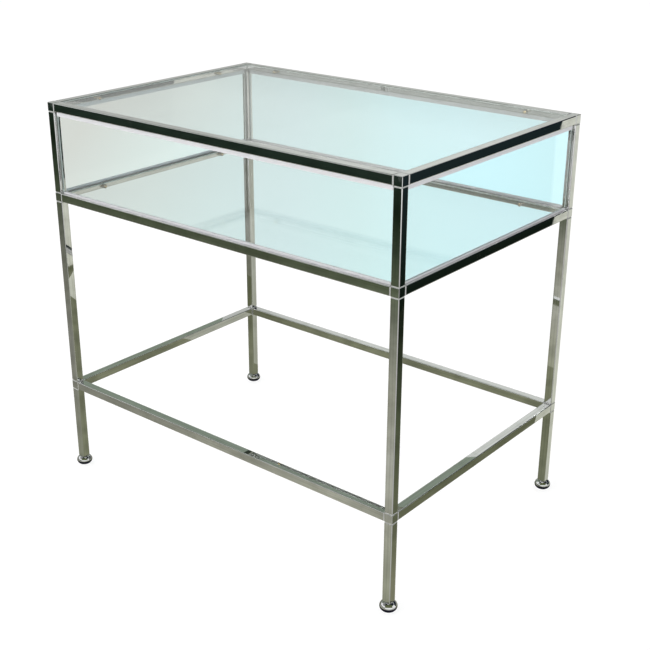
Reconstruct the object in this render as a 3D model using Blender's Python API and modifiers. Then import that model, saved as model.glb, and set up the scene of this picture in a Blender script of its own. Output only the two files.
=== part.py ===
"""Glass display counter: a chromed square-tube frame on bun feet round a glazed box with a lift-out top.

The frame is cut lengths of tube pushed on to cast corner connectors. Pegs on the inner faces of the rails
carry the top glass and the tray glass, and four side panes stand in U-channels between the rails.
"""

import math

import bmesh
import bpy
from mathutils import Matrix, Vector

# Overall sizes in metres. The front is at -Y, the right at +X and the floor at z = 0.
FRAME_WIDTH = 1.000
FRAME_DEPTH = 0.670
FRAME_HEIGHT = 0.944
TRAY_HEIGHT = 0.730
STRETCHER_HEIGHT = 0.239

# Square tube of the rails, posts and legs.
TUBE_SIDE = 0.020
TUBE_WALL = 0.0015
TUBE_ROUND = 0.0018

# Cast connectors: a cube, a low collar towards each tube and a fluted spigot inside it.
CONNECTOR_ROUND = 0.001
COLLAR_LENGTH = 0.002
COLLAR_RECESS = 0.0005
COLLAR_ROUND = 0.0013
SPIGOT_LENGTH = 0.030
SPIGOT_DRAFT = 0.0004
SPIGOT_CHAMFER = 0.001
FLUTE_WIDTH = 0.004
FLUTE_DEPTH = 0.0015

# Loose glass that lies inside the rails on pegs, just below their upper faces.
TOP_GLASS_THICKNESS = 0.008
TRAY_GLASS_THICKNESS = 0.008
GLASS_DROP = 0.001
GLASS_EDGE_GAP = 0.0015
GLASS_ARRIS = 0.0006
PEG_DIAMETER = 0.010
PEG_REACH = 0.010
PEG_TAIL = 0.002
PEG_ROUND = 0.0015
PEG_INSET_LONG_RAIL = 0.102
PEG_INSET_SHORT_RAIL = 0.109

# Side panes and the U-channels that hold their lower and upper edges.
PANE_THICKNESS = 0.006
PANE_END_GAP = 0.0015
PANE_GRIP = 0.005
PANE_LIFT_MARGIN = 0.0015
CHANNEL_WALL = 0.001
CHANNEL_END_GAP = 0.004
LOWER_CHANNEL_DEPTH = 0.004

# Bun feet on threaded studs, and the tapped plug that closes each leg.
FOOT_DIAMETER = 0.0388
FOOT_HEIGHT = 0.025
FOOT_FLAT_RADIUS = 0.007
STUD_DIAMETER = 0.008
STUD_LENGTH = 0.045
STUD_SOCKET = 0.014
STUD_CHAMFER = 0.001
PLUG_THICKNESS = 0.004
PLUG_RECESS = 0.0002

# Clearance wherever two pieces seat on each other, and the spacing that counts as one point.
SEAT_GAP = 0.0003
WELD_DISTANCE = 1e-6

# Facets.
ROUND_STEPS = 2
HOLE_STEPS = 16
PEG_STEPS = 12
FOOT_STEPS = 24
FOOT_ARC_STEPS = 8

# Sizes that follow from the ones above.
TUBE_BORE = TUBE_SIDE - 2 * TUBE_WALL
JOINT_REACH = TUBE_SIDE + COLLAR_LENGTH + SEAT_GAP
COLLAR_ROOT = 0.8 * COLLAR_RECESS
UPPER_CHANNEL_DEPTH = LOWER_CHANNEL_DEPTH + PANE_GRIP + PANE_LIFT_MARGIN
LEG_PLUG_BOTTOM = FOOT_HEIGHT + SEAT_GAP
LEG_BOTTOM = LEG_PLUG_BOTTOM - PLUG_RECESS

UP = Vector((0, 0, 1))

# Each side runs anticlockwise round the frame, seen from above: (direction along it, direction inwards).
SIDES = {
    "front": (Vector((1, 0, 0)), Vector((0, 1, 0))),
    "right": (Vector((0, 1, 0)), Vector((-1, 0, 0))),
    "back": (Vector((-1, 0, 0)), Vector((0, -1, 0))),
    "left": (Vector((0, -1, 0)), Vector((1, 0, 0))),
}
CORNERS = {"front_left": (-1, -1), "front_right": (1, -1), "back_right": (1, 1), "back_left": (-1, 1)}

# Colour, roughness, metallic value and transmission of each material.
FINISHES = {
    "tube_chrome": ((0.74, 0.75, 0.74), 0.08, 1.0, 0.0),
    "connector_chrome": ((0.72, 0.73, 0.73), 0.12, 1.0, 0.0),
    "foot_chrome": ((0.76, 0.77, 0.77), 0.06, 1.0, 0.0),
    "stud_steel": ((0.55, 0.56, 0.57), 0.35, 1.0, 0.0),
    "clear_glass": ((0.80, 0.95, 0.94), 0.02, 0.0, 1.0),
    "channel_satin": ((0.78, 0.77, 0.82), 0.38, 1.0, 0.0),
}


def clear_scene():
    for obj in list(bpy.data.objects):
        bpy.data.objects.remove(obj, do_unlink=True)


def make_collection(name):
    collection = bpy.data.collections.new(name)
    bpy.context.scene.collection.children.link(collection)
    return collection


def make_materials():
    materials = {}
    for name, (colour, roughness, metallic, transmission) in FINISHES.items():
        material = bpy.data.materials.new(name)
        material.use_nodes = True
        shader = material.node_tree.nodes["Principled BSDF"]
        shader.inputs["Base Color"].default_value = (*colour, 1)
        shader.inputs["Roughness"].default_value = roughness
        shader.inputs["Metallic"].default_value = metallic
        shader.inputs["Transmission Weight"].default_value = transmission
        materials[name] = material
    return materials


clear_scene()
PARTS = make_collection("glass_display_counter")
CUTTERS = make_collection("cutters")
MATERIALS = make_materials()
COUNTER = bpy.data.objects.new("counter", None)
PARTS.objects.link(COUNTER)


def add_part(name, mesh, finish, matrix, parent=COUNTER):
    """Add a node: its mesh, its finish and its place under the parent."""
    mesh.name = name
    mesh.materials.append(MATERIALS[finish])
    part = bpy.data.objects.new(name, mesh)
    part.parent = parent
    part.matrix_basis = matrix
    PARTS.objects.link(part)
    return part


def add_cutter(name, mesh, matrix):
    """Add a helper for a Boolean, which isn't part of the object."""
    cutter = bpy.data.objects.new(name, mesh)
    cutter.matrix_basis = matrix
    cutter.hide_render = True
    cutter.display_type = "WIRE"
    CUTTERS.objects.link(cutter)
    return cutter


def fuse(part, cutter):
    """Join a helper's shape to a part, as a weld or a casting does."""
    union = part.modifiers.new(cutter.name, "BOOLEAN")
    union.operation = "UNION"
    union.solver = "EXACT"
    union.object = cutter


def bevel(part, width, segments):
    rounding = part.modifiers.new("bevel", "BEVEL")
    rounding.width = width
    rounding.segments = segments
    rounding.limit_method = "ANGLE"


def rounded_square(side, radius):
    """Outline of a square with round corners, each corner an arc of ROUND_STEPS steps."""
    reach = side / 2 - radius
    outline = []
    for corner, (x, y) in enumerate(((1, 1), (-1, 1), (-1, -1), (1, -1))):
        for step in range(ROUND_STEPS + 1):
            angle = math.pi / 2 * (corner + step / ROUND_STEPS)
            outline.append((x * reach + radius * math.cos(angle), y * reach + radius * math.sin(angle)))
    return outline


def square(side):
    half = side / 2
    return [(half, half), (-half, half), (-half, -half), (half, -half)]


def circle(radius):
    turns = [2 * math.pi * step / HOLE_STEPS for step in range(HOLE_STEPS)]
    return [(radius * math.cos(turn), radius * math.sin(turn)) for turn in turns]


def fluted_square(side):
    """Outline of a spigot: a square with chamfered corners and a V-shaped flute down each face."""
    half = side / 2
    face = [
        (half, SPIGOT_CHAMFER - half),
        (half, -FLUTE_WIDTH / 2),
        (half - FLUTE_DEPTH, 0),
        (half, FLUTE_WIDTH / 2),
        (half, half - SPIGOT_CHAMFER),
    ]
    outline = []
    for turn in range(4):
        for x, y in face:
            for _ in range(turn):
                x, y = -y, x
            outline.append((x, y))
    return outline


def channel_outline(depth):
    """Outline of a U-channel that opens upwards, with its base at y = 0 and its slot centred on x = 0."""
    slot = PANE_THICKNESS / 2 + SEAT_GAP
    outer = slot + CHANNEL_WALL
    return [
        (-outer, 0),
        (outer, 0),
        (outer, depth),
        (slot, depth),
        (slot, CHANNEL_WALL),
        (-slot, CHANNEL_WALL),
        (-slot, depth),
        (-outer, depth),
    ]


def extrude(outlines, length):
    """Mesh of flat outlines, filled between the outer one and its holes and drawn out from z = 0 to length."""
    curve = bpy.data.curves.new("outline", "CURVE")
    curve.dimensions = "2D"
    curve.fill_mode = "BOTH"
    curve.extrude = length / 2
    for outline in outlines:
        spline = curve.splines.new("POLY")
        spline.points.add(len(outline) - 1)
        for point, (x, y) in zip(spline.points, outline):
            point.co = (x, y, 0, 1)
        spline.use_cyclic_u = True
    holder = bpy.data.objects.new("outline", curve)
    CUTTERS.objects.link(holder)
    graph = bpy.context.evaluated_depsgraph_get()
    mesh = bpy.data.meshes.new_from_object(holder.evaluated_get(graph))
    bpy.data.objects.remove(holder)
    bpy.data.curves.remove(curve)
    solid = bmesh.new()
    solid.from_mesh(mesh)
    bmesh.ops.remove_doubles(solid, verts=solid.verts, dist=WELD_DISTANCE)
    bmesh.ops.translate(solid, verts=solid.verts, vec=(0, 0, length / 2))
    bmesh.ops.recalc_face_normals(solid, faces=solid.faces)
    solid.to_mesh(mesh)
    solid.free()
    return mesh


def box(size):
    """Mesh of a box with its centre at the origin."""
    mesh = bpy.data.meshes.new("box")
    solid = bmesh.new()
    bmesh.ops.create_cube(solid, size=1, matrix=Matrix.Diagonal((*size, 1)))
    solid.to_mesh(mesh)
    solid.free()
    return mesh


def turn_profile(part, steps):
    """Sweep the part's profile, which lies in its XZ plane, once round its own Z axis."""
    screw = part.modifiers.new("turned", "SCREW")
    screw.steps = steps
    screw.render_steps = steps
    screw.use_merge_vertices = True
    screw.merge_threshold = WELD_DISTANCE


def profile_mesh(points):
    """Mesh of an open profile of (radius, height) points."""
    mesh = bpy.data.meshes.new("profile")
    edges = [(index, index + 1) for index in range(len(points) - 1)]
    mesh.from_pydata([(radius, 0, height) for radius, height in points], edges, [])
    return mesh


def side_span(side):
    """Outer length of the frame along this side."""
    return FRAME_WIDTH if SIDES[side][0].x else FRAME_DEPTH


def side_matrix(side, height, length):
    """Place of a piece centred on a side: local X points inwards, Y up and Z along, from the piece's near end."""
    along, inward = SIDES[side]
    across = FRAME_DEPTH if along.x else FRAME_WIDTH
    start = UP * height - inward * (across - TUBE_SIDE) / 2 - along * length / 2
    return Matrix.Translation(start) @ Matrix((inward, UP, along)).transposed().to_4x4()


def corner_point(corner, height):
    x, y = CORNERS[corner]
    return Vector((x * (FRAME_WIDTH - TUBE_SIDE) / 2, y * (FRAME_DEPTH - TUBE_SIDE) / 2, height))


def tube(length):
    return extrude([rounded_square(TUBE_SIDE, TUBE_ROUND), square(TUBE_BORE)], length)


def add_rail(level, side, top):
    """Add the tube between two connectors, with its upper face at this height."""
    length = side_span(side) - 2 * JOINT_REACH
    matrix = side_matrix(side, top - TUBE_SIDE / 2, length)
    return add_part(f"{level}_{side}", tube(length), "tube_chrome", matrix)


def add_pegs(rail, side, glass_thickness):
    """Fuse two round pegs to the inner face of a rail, their tops just under the glass."""
    length = side_span(side) - 2 * JOINT_REACH
    inset = PEG_INSET_LONG_RAIL if SIDES[side][0].x else PEG_INSET_SHORT_RAIL
    root = TUBE_BORE / 2 - PEG_TAIL
    tip = TUBE_SIDE / 2 + PEG_REACH
    height = TUBE_SIDE / 2 - GLASS_DROP - glass_thickness - SEAT_GAP - PEG_DIAMETER / 2
    mesh = bpy.data.meshes.new("pegs")
    solid = bmesh.new()
    for place in (inset, length - inset):
        centre = Matrix.Translation(((root + tip) / 2, height, place))
        bmesh.ops.create_cone(
            solid,
            cap_ends=True,
            segments=PEG_STEPS,
            radius1=PEG_DIAMETER / 2,
            radius2=PEG_DIAMETER / 2,
            depth=tip - root,
            matrix=centre @ Matrix.Rotation(math.pi / 2, 4, "Y"),
        )
    middle = (root + tip) / 2
    tip_edges = [edge for edge in solid.edges if all(vert.co.x > middle for vert in edge.verts)]
    bmesh.ops.bevel(solid, geom=tip_edges, offset=PEG_ROUND, segments=2, profile=0.5, affect="EDGES")
    solid.to_mesh(mesh)
    solid.free()
    fuse(rail, add_cutter(f"{rail.name}_pegs", mesh, rail.matrix_basis))


def add_post(name, corner, bottom, top):
    """Add the upright tube between two heights of a corner."""
    return add_part(name, tube(top - bottom), "tube_chrome", Matrix.Translation(corner_point(corner, bottom)))


def add_leg(corner, top):
    """Add the lowest upright, closed at the foot by a welded plug with the stud's hole in it."""
    leg = add_post(f"leg_{corner}", corner, LEG_BOTTOM, top)
    plug_side = TUBE_BORE + TUBE_WALL
    plug = extrude([square(plug_side), circle(STUD_DIAMETER / 2 + SEAT_GAP)], PLUG_THICKNESS)
    place = Matrix.Translation(corner_point(corner, LEG_PLUG_BOTTOM))
    fuse(leg, add_cutter(f"{leg.name}_plug", plug, place))


def collar_mesh():
    """The low step of a connector towards one tube, drawn along +Z from the cube's face."""
    mesh = extrude([rounded_square(TUBE_SIDE - 2 * COLLAR_RECESS, COLLAR_ROUND)], COLLAR_ROOT + COLLAR_LENGTH)
    mesh.transform(Matrix.Translation((0, 0, TUBE_SIDE / 2 - COLLAR_ROOT)))
    return mesh


def spigot_mesh():
    """The fluted plug that fills a tube's end, drawn along +Z from inside its collar and tapered for casting."""
    side = TUBE_BORE - 2 * SEAT_GAP
    root = COLLAR_LENGTH / 2
    mesh = extrude([fluted_square(side)], root + SPIGOT_LENGTH)
    taper = 1 - SPIGOT_DRAFT / (side / 2)
    for vert in mesh.vertices:
        if vert.co.z > root:
            vert.co.x *= taper
            vert.co.y *= taper
    mesh.transform(Matrix.Translation((0, 0, TUBE_SIDE / 2 + root)))
    return mesh


def copies_along(shape, directions):
    """One mesh with a copy of a shape, drawn along +Z, turned to each direction."""
    mesh = bpy.data.meshes.new("arms")
    solid = bmesh.new()
    for x, y, z in directions:
        before = len(solid.verts)
        solid.from_mesh(shape)
        solid.verts.ensure_lookup_table()
        turn = Matrix(((z, y, x), (x, z, y), (y, x, z))).to_4x4()
        bmesh.ops.transform(solid, matrix=turn, verts=solid.verts[before:])
    bmesh.ops.recalc_face_normals(solid, faces=solid.faces)
    solid.to_mesh(mesh)
    solid.free()
    return mesh


def add_connector(level, corner, top, upright_directions):
    """Add the cast cube of a corner, with a collar and a spigot along each of its tubes."""
    x, y = CORNERS[corner]
    arms = [(-x, 0, 0), (0, -y, 0), *((0, 0, z) for z in upright_directions)]
    place = Matrix.Translation(corner_point(corner, top - TUBE_SIDE / 2))
    connector = add_part(f"{level}_connector_{corner}", box((TUBE_SIDE,) * 3), "connector_chrome", place)
    bevel(connector, CONNECTOR_ROUND, ROUND_STEPS)
    for kind, shape in (("collars", collar_mesh()), ("spigots", spigot_mesh())):
        fuse(connector, add_cutter(f"{connector.name}_{kind}", copies_along(shape, arms), place))


def add_loose_glass(name, rail_top, thickness):
    """Add the sheet that lies inside a ring of rails, with ground arrises."""
    inset = 2 * (TUBE_SIDE + GLASS_EDGE_GAP)
    sheet = box((FRAME_WIDTH - inset, FRAME_DEPTH - inset, thickness))
    place = Matrix.Translation(UP * (rail_top - GLASS_DROP - thickness / 2))
    bevel(add_part(name, sheet, "clear_glass", place), GLASS_ARRIS, 1)


def add_glazing(side):
    """Add a side's lower and upper channels and the pane between them."""
    opening = side_span(side) - 2 * TUBE_SIDE
    lower_base = TRAY_HEIGHT + SEAT_GAP
    upper_base = FRAME_HEIGHT - TUBE_SIDE - SEAT_GAP
    length = opening - 2 * CHANNEL_END_GAP
    lower = extrude([channel_outline(LOWER_CHANNEL_DEPTH)], length)
    add_part(f"tray_channel_{side}", lower, "channel_satin", side_matrix(side, lower_base, length))
    upper = extrude([[(-x, -y) for x, y in channel_outline(UPPER_CHANNEL_DEPTH)]], length)
    add_part(f"top_channel_{side}", upper, "channel_satin", side_matrix(side, upper_base, length))
    bottom = lower_base + CHANNEL_WALL + SEAT_GAP
    top = upper_base - UPPER_CHANNEL_DEPTH + PANE_GRIP
    pane = box((PANE_THICKNESS, top - bottom, opening - 2 * PANE_END_GAP))
    place = side_matrix(side, (bottom + top) / 2, 0)
    bevel(add_part(f"{side}_pane", pane, "clear_glass", place), GLASS_ARRIS, 1)


def foot_profile():
    """Half section of a bun foot: a flattened ball cut flat above and below, with the stud's socket on top."""
    belly = FOOT_DIAMETER / 2
    half = FOOT_HEIGHT / 2
    socket = STUD_DIAMETER / 2 + SEAT_GAP
    rise = half / math.sqrt(1 - (FOOT_FLAT_RADIUS / belly) ** 2)
    end = math.asin(half / rise)
    profile = [(0, FOOT_HEIGHT - STUD_SOCKET), (socket, FOOT_HEIGHT - STUD_SOCKET), (socket, FOOT_HEIGHT)]
    for step in range(FOOT_ARC_STEPS + 1):
        angle = end * (1 - 2 * step / FOOT_ARC_STEPS)
        profile.append((belly * math.cos(angle), half + rise * math.sin(angle)))
    return profile + [(0, 0)]


def stud_profile():
    """Half section of a stud from its top down, chamfered at both ends."""
    radius = STUD_DIAMETER / 2
    return [
        (0, STUD_LENGTH),
        (radius - STUD_CHAMFER, STUD_LENGTH),
        (radius, STUD_LENGTH - STUD_CHAMFER),
        (radius, STUD_CHAMFER),
        (radius - STUD_CHAMFER, 0),
        (0, 0),
    ]


def add_foot(corner):
    """Add a bun foot and its stud under an empty on the axis about which they screw."""
    axis = bpy.data.objects.new(f"foot_axis_{corner}", None)
    axis.parent = COUNTER
    axis.location = corner_point(corner, 0)
    PARTS.objects.link(axis)
    foot = add_part(f"foot_{corner}", profile_mesh(foot_profile()), "foot_chrome", Matrix(), axis)
    turn_profile(foot, FOOT_STEPS)
    stud_base = Matrix.Translation(UP * (FOOT_HEIGHT - STUD_SOCKET + SEAT_GAP))
    stud = add_part(f"foot_stud_{corner}", profile_mesh(stud_profile()), "stud_steel", stud_base, axis)
    turn_profile(stud, HOLE_STEPS)


def build():
    for side in SIDES:
        add_pegs(add_rail("top_rail", side, FRAME_HEIGHT), side, TOP_GLASS_THICKNESS)
        add_pegs(add_rail("tray_rail", side, TRAY_HEIGHT), side, TRAY_GLASS_THICKNESS)
        add_rail("stretcher", side, STRETCHER_HEIGHT)
        add_glazing(side)
    shoulder = COLLAR_LENGTH + SEAT_GAP
    for corner in CORNERS:
        add_connector("top", corner, FRAME_HEIGHT, (-1,))
        add_connector("tray", corner, TRAY_HEIGHT, (1, -1))
        add_connector("stretcher", corner, STRETCHER_HEIGHT, (1, -1))
        add_post(f"upper_post_{corner}", corner, TRAY_HEIGHT + shoulder, FRAME_HEIGHT - JOINT_REACH)
        add_post(f"middle_post_{corner}", corner, STRETCHER_HEIGHT + shoulder, TRAY_HEIGHT - JOINT_REACH)
        add_leg(corner, STRETCHER_HEIGHT - JOINT_REACH)
        add_foot(corner)
    add_loose_glass("top_glass", FRAME_HEIGHT, TOP_GLASS_THICKNESS)
    add_loose_glass("tray_glass", TRAY_HEIGHT, TRAY_GLASS_THICKNESS)


build()
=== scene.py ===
# %% [markdown]
# A glass display counter, dressed for its picture.
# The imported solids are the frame: they say where everything is and how big it is. This lesson
# puts a finer surface over each of them, gives every surface its finish, and then sets up the
# floor, the light and the camera. All lengths are in metres.

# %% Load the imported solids
import math

import bmesh
import bpy
import numpy as np
from mathutils import Matrix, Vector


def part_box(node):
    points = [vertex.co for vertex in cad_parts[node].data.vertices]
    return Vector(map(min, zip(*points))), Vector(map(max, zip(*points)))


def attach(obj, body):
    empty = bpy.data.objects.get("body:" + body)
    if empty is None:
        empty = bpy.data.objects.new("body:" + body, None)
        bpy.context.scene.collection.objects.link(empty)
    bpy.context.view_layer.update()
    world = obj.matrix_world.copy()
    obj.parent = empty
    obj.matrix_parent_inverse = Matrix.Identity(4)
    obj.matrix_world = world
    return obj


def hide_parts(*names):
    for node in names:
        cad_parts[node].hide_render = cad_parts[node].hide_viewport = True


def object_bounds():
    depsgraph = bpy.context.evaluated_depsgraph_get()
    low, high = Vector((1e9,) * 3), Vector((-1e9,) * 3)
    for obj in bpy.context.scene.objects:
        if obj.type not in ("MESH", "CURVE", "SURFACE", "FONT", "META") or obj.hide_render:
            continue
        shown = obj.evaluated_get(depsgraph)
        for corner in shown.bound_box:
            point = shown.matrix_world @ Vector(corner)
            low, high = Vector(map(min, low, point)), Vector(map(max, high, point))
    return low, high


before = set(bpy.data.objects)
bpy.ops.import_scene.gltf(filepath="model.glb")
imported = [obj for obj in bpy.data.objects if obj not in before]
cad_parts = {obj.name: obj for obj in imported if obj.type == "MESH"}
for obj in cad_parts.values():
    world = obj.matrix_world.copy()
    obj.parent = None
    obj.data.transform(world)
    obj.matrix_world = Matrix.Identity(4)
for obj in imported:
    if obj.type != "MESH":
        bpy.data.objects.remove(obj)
cad_box = [list(corner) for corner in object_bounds()]
print("solids loaded:", len(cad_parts), "box", np.round(cad_box, 4).tolist())

# %% [markdown]
# The camera comes first, because everything is judged through it. Its place was found by
# fitting the straight edges of the frame in the photograph to a frame of the same size. The
# middle of the lens does not fall on the middle of the picture, so a small shift is needed.

# %% Camera
PICTURE_SIDE = 650
FOCAL_LENGTH_PIXELS = 1153.11
LENS_MIDDLE_PIXELS = (318.30, 326.22)
CAMERA_PLACE = (1.6551, -1.9709, 1.4940)
CAMERA_AZIMUTH = math.radians(39.517)
CAMERA_ELEVATION = math.radians(22.787)
CAMERA_ROLL = math.radians(0.090)
SENSOR_WIDTH_MM = 36.0


def add_object(name, data):
    """An object that shows the data, linked to the scene."""
    thing = bpy.data.objects.new(name, data)
    bpy.context.scene.collection.objects.link(thing)
    return thing


def add_camera():
    """Camera whose own axes are right, up and back, worked out from azimuth, elevation and roll."""
    az, el, roll = CAMERA_AZIMUTH, CAMERA_ELEVATION, CAMERA_ROLL
    ahead = np.array([-math.sin(az) * math.cos(el), math.cos(az) * math.cos(el), -math.sin(el)])
    level = np.array([math.cos(az), math.sin(az), 0.0])
    rise = np.cross(level, ahead)
    right = math.cos(roll) * level + math.sin(roll) * rise
    up = math.cos(roll) * rise - math.sin(roll) * level
    turn = np.eye(4)
    turn[:3, :3] = np.stack([right, up, -ahead], axis=1)
    turn[:3, 3] = CAMERA_PLACE
    data = bpy.data.cameras.new("photo_camera")
    data.sensor_width = SENSOR_WIDTH_MM
    data.lens = FOCAL_LENGTH_PIXELS / PICTURE_SIDE * SENSOR_WIDTH_MM
    data.shift_x = (PICTURE_SIDE / 2 - LENS_MIDDLE_PIXELS[0]) / PICTURE_SIDE
    data.shift_y = (LENS_MIDDLE_PIXELS[1] - PICTURE_SIDE / 2) / PICTURE_SIDE
    camera = add_object("photo_camera", data)
    camera.matrix_world = Matrix(turn.tolist())
    bpy.context.scene.camera = camera
    return camera


photo_camera = add_camera()
print("camera lens", round(photo_camera.data.lens, 2), "mm")

# %% [markdown]
# Sizes are read off the solids wherever they can be: a tube's side is the height of a rail, its
# length is the rail's length. What the solids only show roughly, such as the small round of an
# edge, is named where it is first needed.

# %% Sizes
def node_box(node):
    """Lowest and highest corner of a solid, as two arrays."""
    low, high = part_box(node)
    return np.array(low), np.array(high)


ALONG_AND_OUT = {
    "front": np.array([(1.0, 0.0, 0.0), (0.0, -1.0, 0.0)]),
    "right": np.array([(0.0, 1.0, 0.0), (1.0, 0.0, 0.0)]),
    "back": np.array([(-1.0, 0.0, 0.0), (0.0, 1.0, 0.0)]),
    "left": np.array([(0.0, -1.0, 0.0), (-1.0, 0.0, 0.0)]),
}
CORNERS = {"front_left": (-1, -1), "front_right": (1, -1), "back_right": (1, 1), "back_left": (-1, 1)}
UP = np.array([0.0, 0.0, 1.0])
NORTH = np.array([0.0, 1.0, 0.0])

rail_low, rail_high = node_box("top_rail_front")
TUBE_SIDE = float(rail_high[2] - rail_low[2])
TUBE_WALL = 0.0015
TUBE_BORE = TUBE_SIDE - 2 * TUBE_WALL
print("tube side", round(TUBE_SIDE * 1000, 2), "mm")

# %% [markdown]
# Every finish is a set of shader nodes. A few helpers keep the node code short: one starts a
# material, one adds a node with its settings, one makes a shared group, and the others are steps
# that many finishes take. A group is an effect that several finishes use, such as the marks that
# handling leaves on plating.

# %% Helpers for nodes
def new_finish(name):
    """An empty material with its shader; returns the material, its node tree and the shader."""
    material = bpy.data.materials.new(name)
    material.use_nodes = True
    return material, material.node_tree, material.node_tree.nodes["Principled BSDF"]


def add_node(tree, kind, links=None, **settings):
    """A node of that kind; settings set its properties, links join or fill its inputs by name."""
    node = tree.nodes.new(kind)
    for name, value in settings.items():
        setattr(node, name, value)
    for socket, value in (links or {}).items():
        if isinstance(value, bpy.types.NodeSocket):
            tree.links.new(value, node.inputs[socket])
        else:
            node.inputs[socket].default_value = value
    return node


def new_group(name, inputs, outputs):
    """A shared group with named sockets; returns the tree, its inputs and its output node."""
    tree = bpy.data.node_groups.new(name, "ShaderNodeTree")
    for socket, kind in inputs.items():
        tree.interface.new_socket(socket, in_out="INPUT", socket_type=f"NodeSocket{kind}")
    for socket, kind in outputs.items():
        tree.interface.new_socket(socket, in_out="OUTPUT", socket_type=f"NodeSocket{kind}")
    entry = tree.nodes.new("NodeGroupInput")
    leave = tree.nodes.new("NodeGroupOutput")
    return tree, entry.outputs, leave


def calculate(tree, operation, *values, clamp=False):
    """The result of one sum; each value is a number or another node's socket."""
    node = add_node(tree, "ShaderNodeMath", dict(enumerate(values)), operation=operation, use_clamp=clamp)
    return node.outputs["Value"]


def spread(tree, value, low, high, to_low=0.0, to_high=1.0):
    """A smooth step: values from low to high are spread from to_low to to_high."""
    sockets = {"Value": value, "From Min": low, "From Max": high, "To Min": to_low, "To Max": to_high}
    return add_node(tree, "ShaderNodeMapRange", sockets, interpolation_type="SMOOTHSTEP").outputs["Result"]


print("node helpers ready")


# %% Helpers for finishes
def own_place(tree):
    """The piece's own coordinates, stored on its points: x and y across it, z along it."""
    return add_node(tree, "ShaderNodeAttribute", attribute_name="own_place").outputs["Vector"]


def noise(tree, place, scale, detail, roughness=0.5):
    """Cloudy noise about one half: scale makes its clouds smaller and detail adds finer ones."""
    sockets = {"Vector": place, "Scale": scale, "Detail": detail, "Roughness": roughness}
    return add_node(tree, "ShaderNodeTexNoise", sockets).outputs["Fac"]


def stretched_noise(tree, place, across, along, detail, roughness=0.5):
    """Noise drawn out along own z, with one scale across the piece and a smaller one along it."""
    stretch = add_node(tree, "ShaderNodeMapping", {"Vector": place, "Scale": (across, across, along)})
    return noise(tree, stretch.outputs["Vector"], 1.0, detail, roughness)


def mix_colours(tree, share, first, second):
    """The first colour where share is 0 and the second where it is 1."""
    node = add_node(tree, "ShaderNodeMix", {"Factor": share}, data_type="RGBA")
    colours = [socket for socket in node.inputs if socket.type == "RGBA"]
    colours[0].default_value = (*first, 1.0)
    colours[1].default_value = (*second, 1.0)
    return [socket for socket in node.outputs if socket.type == "RGBA"][0]


def add_relief(tree, shader, height, distance):
    """Tilts the shader's normal as a height between 0 and that distance would."""
    bump = add_node(tree, "ShaderNodeBump", {"Height": height, "Strength": 1.0, "Distance": distance})
    tree.links.new(bump.outputs["Normal"], shader.inputs["Normal"])


def show_mix(tree, share, first, second, output="Material Output"):
    """Shows the first shader where share is 0 and the second where it is 1."""
    blend = add_node(tree, "ShaderNodeMixShader", {0: share, 1: first, 2: second})
    tree.links.new(blend.outputs["Shader"], tree.nodes[output].inputs["Surface"])


print("finish helpers ready")

# %% [markdown]
# Chrome plate is a perfect mirror only in the catalogue. Hands leave soft smears that dull it in
# patches, polishing leaves long streaks and hair scratches along the tube, and the drawn steel
# below is very slightly wavy, which makes a reflected edge wander. One group gives all four, in
# the piece's own coordinates, so that the scratches run along every tube whichever way it lies.

# %% Group of marks on plating
def make_plating_marks():
    """Smear: cloudy noise. Scratch and streak: noise stretched along z into hairs and bands.
    Ripple: long waves."""
    tree, inputs, leave = new_group(
        "plating_marks",
        {"Place": "Vector", "Smear scale": "Float"},
        {"Smear": "Float", "Scratch": "Float", "Streak": "Float", "Ripple": "Float"},
    )
    place = inputs["Place"]
    smears = noise(tree, place, inputs["Smear scale"], detail=6.0, roughness=0.62)
    hairs = stretched_noise(tree, place, across=1500.0, along=22.0, detail=2.0)
    bands = stretched_noise(tree, place, across=330.0, along=5.0, detail=3.0)
    waves = stretched_noise(tree, place, across=90.0, along=7.0, detail=1.0)
    tree.links.new(spread(tree, smears, 0.46, 0.72), leave.inputs["Smear"])
    tree.links.new(spread(tree, hairs, 0.64, 0.74), leave.inputs["Scratch"])
    tree.links.new(spread(tree, bands, 0.40, 0.66), leave.inputs["Streak"])
    tree.links.new(waves, leave.inputs["Ripple"])
    return tree


PLATING_MARKS = make_plating_marks()
print("group", PLATING_MARKS.name, "made")

# %% Chrome finishes
STREAK_SHARE = 0.6
SCRATCH_ROUGHNESS = 0.06
SCRATCH_DEPTH = -0.03


def chrome_finish(name, bright, dull, smear_scale, roughness, ripple_height):
    """Metal whose colour goes from bright to dull in smears and streaks and whose roughness grows
    with the smears."""
    material, tree, shader = new_finish(name)
    group = add_node(tree, "ShaderNodeGroup", {"Place": own_place(tree), "Smear scale": smear_scale},
                     node_tree=PLATING_MARKS)
    marks = group.outputs
    worn = calculate(tree, "MULTIPLY_ADD", marks["Streak"], STREAK_SHARE, marks["Smear"], clamp=True)
    smear = spread(tree, marks["Smear"], 0.0, 1.0, *roughness)
    rough = calculate(tree, "MULTIPLY_ADD", marks["Scratch"], SCRATCH_ROUGHNESS, smear)
    relief = calculate(tree, "MULTIPLY_ADD", marks["Scratch"], SCRATCH_DEPTH, marks["Ripple"])
    shader.inputs["Metallic"].default_value = 1.0
    tree.links.new(mix_colours(tree, worn, bright, dull), shader.inputs["Base Color"])
    tree.links.new(rough, shader.inputs["Roughness"])
    add_relief(tree, shader, relief, ripple_height)
    return material


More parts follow.
